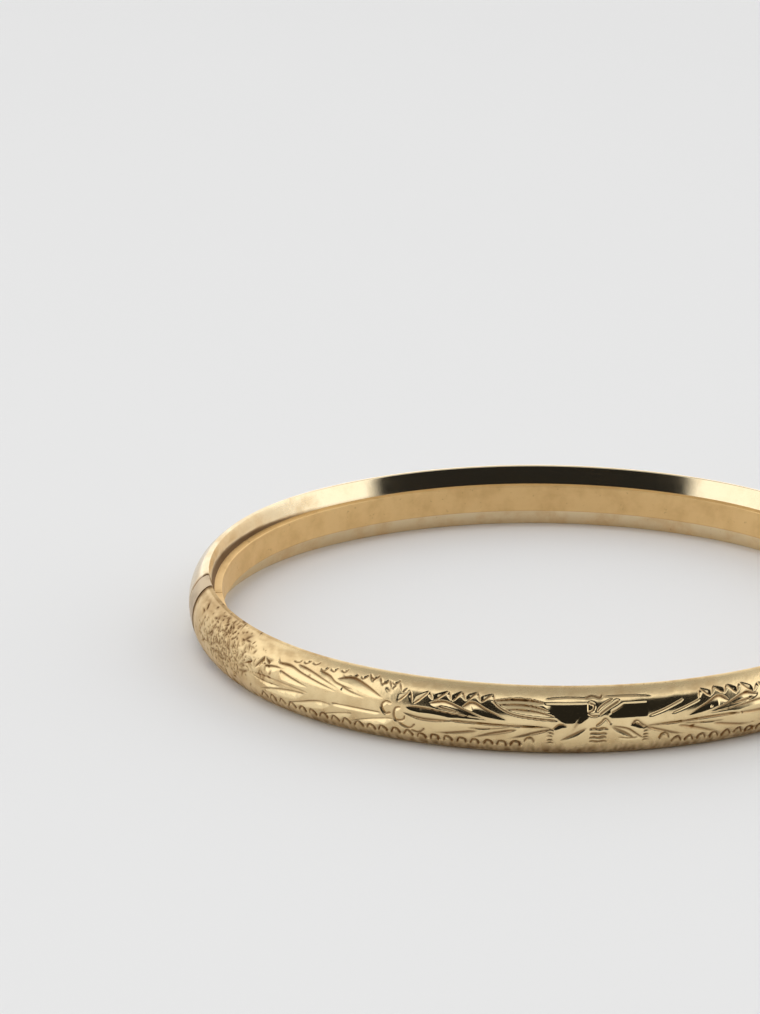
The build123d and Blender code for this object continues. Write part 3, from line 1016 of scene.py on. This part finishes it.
def makeLiner(name, node, body, start, end, seed):
    lipHeight = bangle["lipHeight"]
    flange = bangle["lipDepth"] + bangle["sheet"] / math.cos(lean)
    rounding, sheet = liner["rounding"], liner["sheet"]
    corner = np.radians(np.linspace(180, 90, 5))
    straight = lipHeight - rounding
    faceHeights = np.linspace(-straight, straight, 25)
    upperCorner = [
        (rounding + rounding * math.cos(a), straight + rounding * math.sin(a)) for a in corner
    ]
    lowerCorner = [(across, -up) for across, up in upperCorner[::-1]]
    face = [(0.0, level) for level in faceHeights[1:-1]]
    outline = [(flange, -lipHeight), *lowerCorner, *face, *upperCorner, (flange, lipHeight)]
    outline += [(flange, lipHeight - sheet), (sheet, lipHeight - sheet)]
    outline += [(sheet, -lipHeight + sheet), (flange, -lipHeight + sheet)]
    outline = outline[::-1]
    depth, height = np.array(outline).T
    angles = np.linspace(start, end, liner["stations"])
    along = angles / 90 * quarterRun
    onFace = ((depth < 0.02) & (np.abs(height) < lipHeight - sheet)).astype(float)
    wavy = unevenness(along[:, None], height[None, :], shortest=1.2, longest=7.0, count=22, seed=seed)
    allDepth = depth[None, :] + np.abs(wavy * liner["hollow"]) * onFace[None, :]
    allHeight = np.ones((len(angles), 1)) * height[None, :]
    none = np.zeros((1, 1))
    wear = np.full((1, len(depth)), liner["wear"])
    fields = pointFields(
        allDepth.shape, along, across=height[None, :], tarnish=none, polish=none, wear=wear
    )
    piece = sweepBand(name, angles, allDepth, allHeight, fields, 40)
    giveFinish(piece, "linerGold")
    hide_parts(node)
    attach(piece, body)
    return piece


makeFrontShell()
makeBackShell()
seamTurn = math.degrees(bangle["seamGap"] / 2 / (bangle["endRadius"] + 0.4))
makeLiner("frontLinerChannel", "front_liner", "front_half", 180 + seamTurn, 360 - seamTurn, 21)
makeLiner("backLinerChannel", "back_liner", "back_half", seamTurn, 180 - seamTurn, 22)

# Small metal pieces keep their machined shapes
carriedOver = {
    "hinge_collar": "plainGold",
    "clasp_collar": "plainGold",
    "front_hinge_plate": "endMetal",
    "middle_knuckle": "endMetal",
    "clasp_slot_plate": "endMetal",
    "clasp_box": "endMetal",
    "back_hinge_plate": "endMetal",
    "lower_knuckle": "endMetal",
    "upper_knuckle": "endMetal",
    "hinge_pin": "pinMetal",
    "back_clasp_plate": "endMetal",
    "tongue_base": "springMetal",
    "spring_leaf": "springMetal",
    "thumb_piece": "plainGold",
}
for node, finishName in carriedOver.items():
    giveFinish(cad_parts[node], finishName)
print("carried over", len(carriedOver))

# Studio: pale table, bright sides, a dimmer ceiling and the dark shape of whoever stands in front
studio = {
    "side": 1.23,
    "ceiling": 0.45,
    "ceilingFrom": 42.0,
    "ceilingTo": 66.0,
    "darkFrom": -136.5,
    "darkTo": -40.0,
    "darkTop": 38.0,
    "darkEdge": 3.0,
    "darkLight": 0.015,
    "backdrop": 0.85,
    "overhead": 1.7,
    "overheadSize": 0.7,
    "overheadPlace": (-0.15, -0.1, 0.9),
}


def makeWorld():
    world = bpy.data.worlds.new("whiteRoom")
    bpy.context.scene.world = world
    world.use_nodes = True
    finish = Finish(world.node_tree)
    aim = finish.add("ShaderNodeTexCoord", None, None, "Generated")
    split = {axis: finish.add("ShaderNodeSeparateXYZ", None, {"Vector": aim}, axis) for axis in "XYZ"}
    middle = math.radians((studio["darkFrom"] + studio["darkTo"]) / 2)
    halfSpan = (studio["darkTo"] - studio["darkFrom"]) / 2
    level = finish.math("SQRT", split["X"] * split["X"] + split["Y"] * split["Y"], 0)
    facing = (split["X"] * math.cos(middle) + split["Y"] * math.sin(middle)) / (level + 1e-5)
    wide = math.cos(math.radians(halfSpan + studio["darkEdge"]))
    narrow = math.cos(math.radians(halfSpan - studio["darkEdge"]))
    sideways = finish.smooth(facing, wide, narrow)
    low = math.sin(math.radians(studio["darkTop"] - studio["darkEdge"]))
    high = math.sin(math.radians(studio["darkTop"] + studio["darkEdge"]))
    person = sideways * (1 - finish.smooth(split["Z"], low, high))
    ceilingLow = math.sin(math.radians(studio["ceilingFrom"]))
    ceilingHigh = math.sin(math.radians(studio["ceilingTo"]))
    above = finish.smooth(split["Z"], ceilingLow, ceilingHigh)
    room = studio["side"] + above * (studio["ceiling"] - studio["side"])
    glow = room * (1 - person * (1 - studio["darkLight"]))
    seen = finish.add("ShaderNodeLightPath", None, None, "Is Camera Ray")
    strength = finish.math("MAXIMUM", glow, seen * studio["backdrop"])
    inputs = {"Color": colour(1.0, 1.0, 1.0), "Strength": strength}
    light = finish.add("ShaderNodeBackground", None, inputs)
    finish.add("ShaderNodeOutputWorld", None, {"Surface": light})


# Large soft overhead light that lifts the table without a hard highlight on the gold
def makeOverheadLight():
    light = bpy.data.lights.new("overheadSoftbox", "AREA")
    light.shape = "DISK"
    light.size = studio["overheadSize"]
    light.energy = studio["overhead"]
    rig = bpy.data.objects.new("overheadSoftbox", light)
    bpy.context.scene.collection.objects.link(rig)
    rig.location = studio["overheadPlace"]
    rig.rotation_euler = (-Vector(rig.location)).to_track_quat("-Z", "Y").to_euler()
    rig.visible_glossy = False


tableTop = {
    "size": 6.0,
    "dark": colour(0.79, 0.79, 0.79),
    "pale": colour(0.81, 0.81, 0.808),
    "cloudScale": 8.0,
    "rough": 0.75,
    "shine": 0.2,
}


def makeTable():
    bpy.ops.mesh.primitive_plane_add(size=tableTop["size"], location=(0, 0, cadBox[0].z))
    table = bpy.context.object
    table.name = "paleTable"
    material = bpy.data.materials.new("paleTable")
    material.use_nodes = True
    finish = Finish(material.node_tree)
    cloud = finish.noise(finish.place(), tableTop["cloudScale"])
    tint = finish.mix(cloud, tableTop["dark"], tableTop["pale"])
    inputs = {"Base Color": tint, "Roughness": tableTop["rough"]}
    inputs["Specular IOR Level"] = tableTop["shine"]
    shader = finish.add("ShaderNodeBsdfPrincipled", None, inputs)
    finish.add("ShaderNodeOutputMaterial", None, {"Surface": shader})
    table.data.materials.append(material)


# Camera: distance, height above the table and turn follow the view of the laid-down bangle
viewpoint = {
    "distance": 0.310884,
    "elevation": 21.808,
    "turn": -9.0,
    "roll": 1.802,
    "aimRight": 0.04992,
    "aimUp": -0.02476,
    "lens": 121.77,
    "sensor": 36.0,
}


def makeCamera():
    camera = bpy.data.cameras.new("viewCamera")
    camera.sensor_width = viewpoint["sensor"]
    camera.lens = viewpoint["lens"]
    camera.clip_start = 0.01
    camera.clip_end = 20.0
    rig = bpy.data.objects.new("viewCamera", camera)
    bpy.context.scene.collection.objects.link(rig)
    rise = math.radians(viewpoint["elevation"])
    forward = Vector((0, math.cos(rise), -math.sin(rise)))
    right = Vector((1, 0, 0))
    up = Vector((0, math.sin(rise), math.cos(rise)))
    yaw = math.atan(viewpoint["aimRight"])
    pitch = math.atan(viewpoint["aimUp"] * math.cos(yaw))
    tilted = forward * math.cos(pitch) - up * math.sin(pitch)
    upright = up * math.cos(pitch) + forward * math.sin(pitch)
    ahead = tilted * math.cos(yaw) - right * math.sin(yaw)
    across = right * math.cos(yaw) + tilted * math.sin(yaw)
    roll = math.radians(viewpoint["roll"])
    rolledRight = across * math.cos(roll) + upright * math.sin(roll)
    rolledUp = upright * math.cos(roll) - across * math.sin(roll)
    turned = Matrix.Rotation(math.radians(viewpoint["turn"]), 3, "Z")
    axes = Matrix((rolledRight, rolledUp, -ahead)).transposed()
    middle = Vector((0, 0, midHeight * mm))
    place = middle + turned @ (-forward * viewpoint["distance"])
    rig.matrix_world = Matrix.Translation(place) @ (turned @ axes).to_4x4()
    bpy.context.scene.camera = rig


makeWorld()
makeOverheadLight()
makeTable()
makeCamera()
bpy.context.scene.view_settings.view_transform = "Standard"
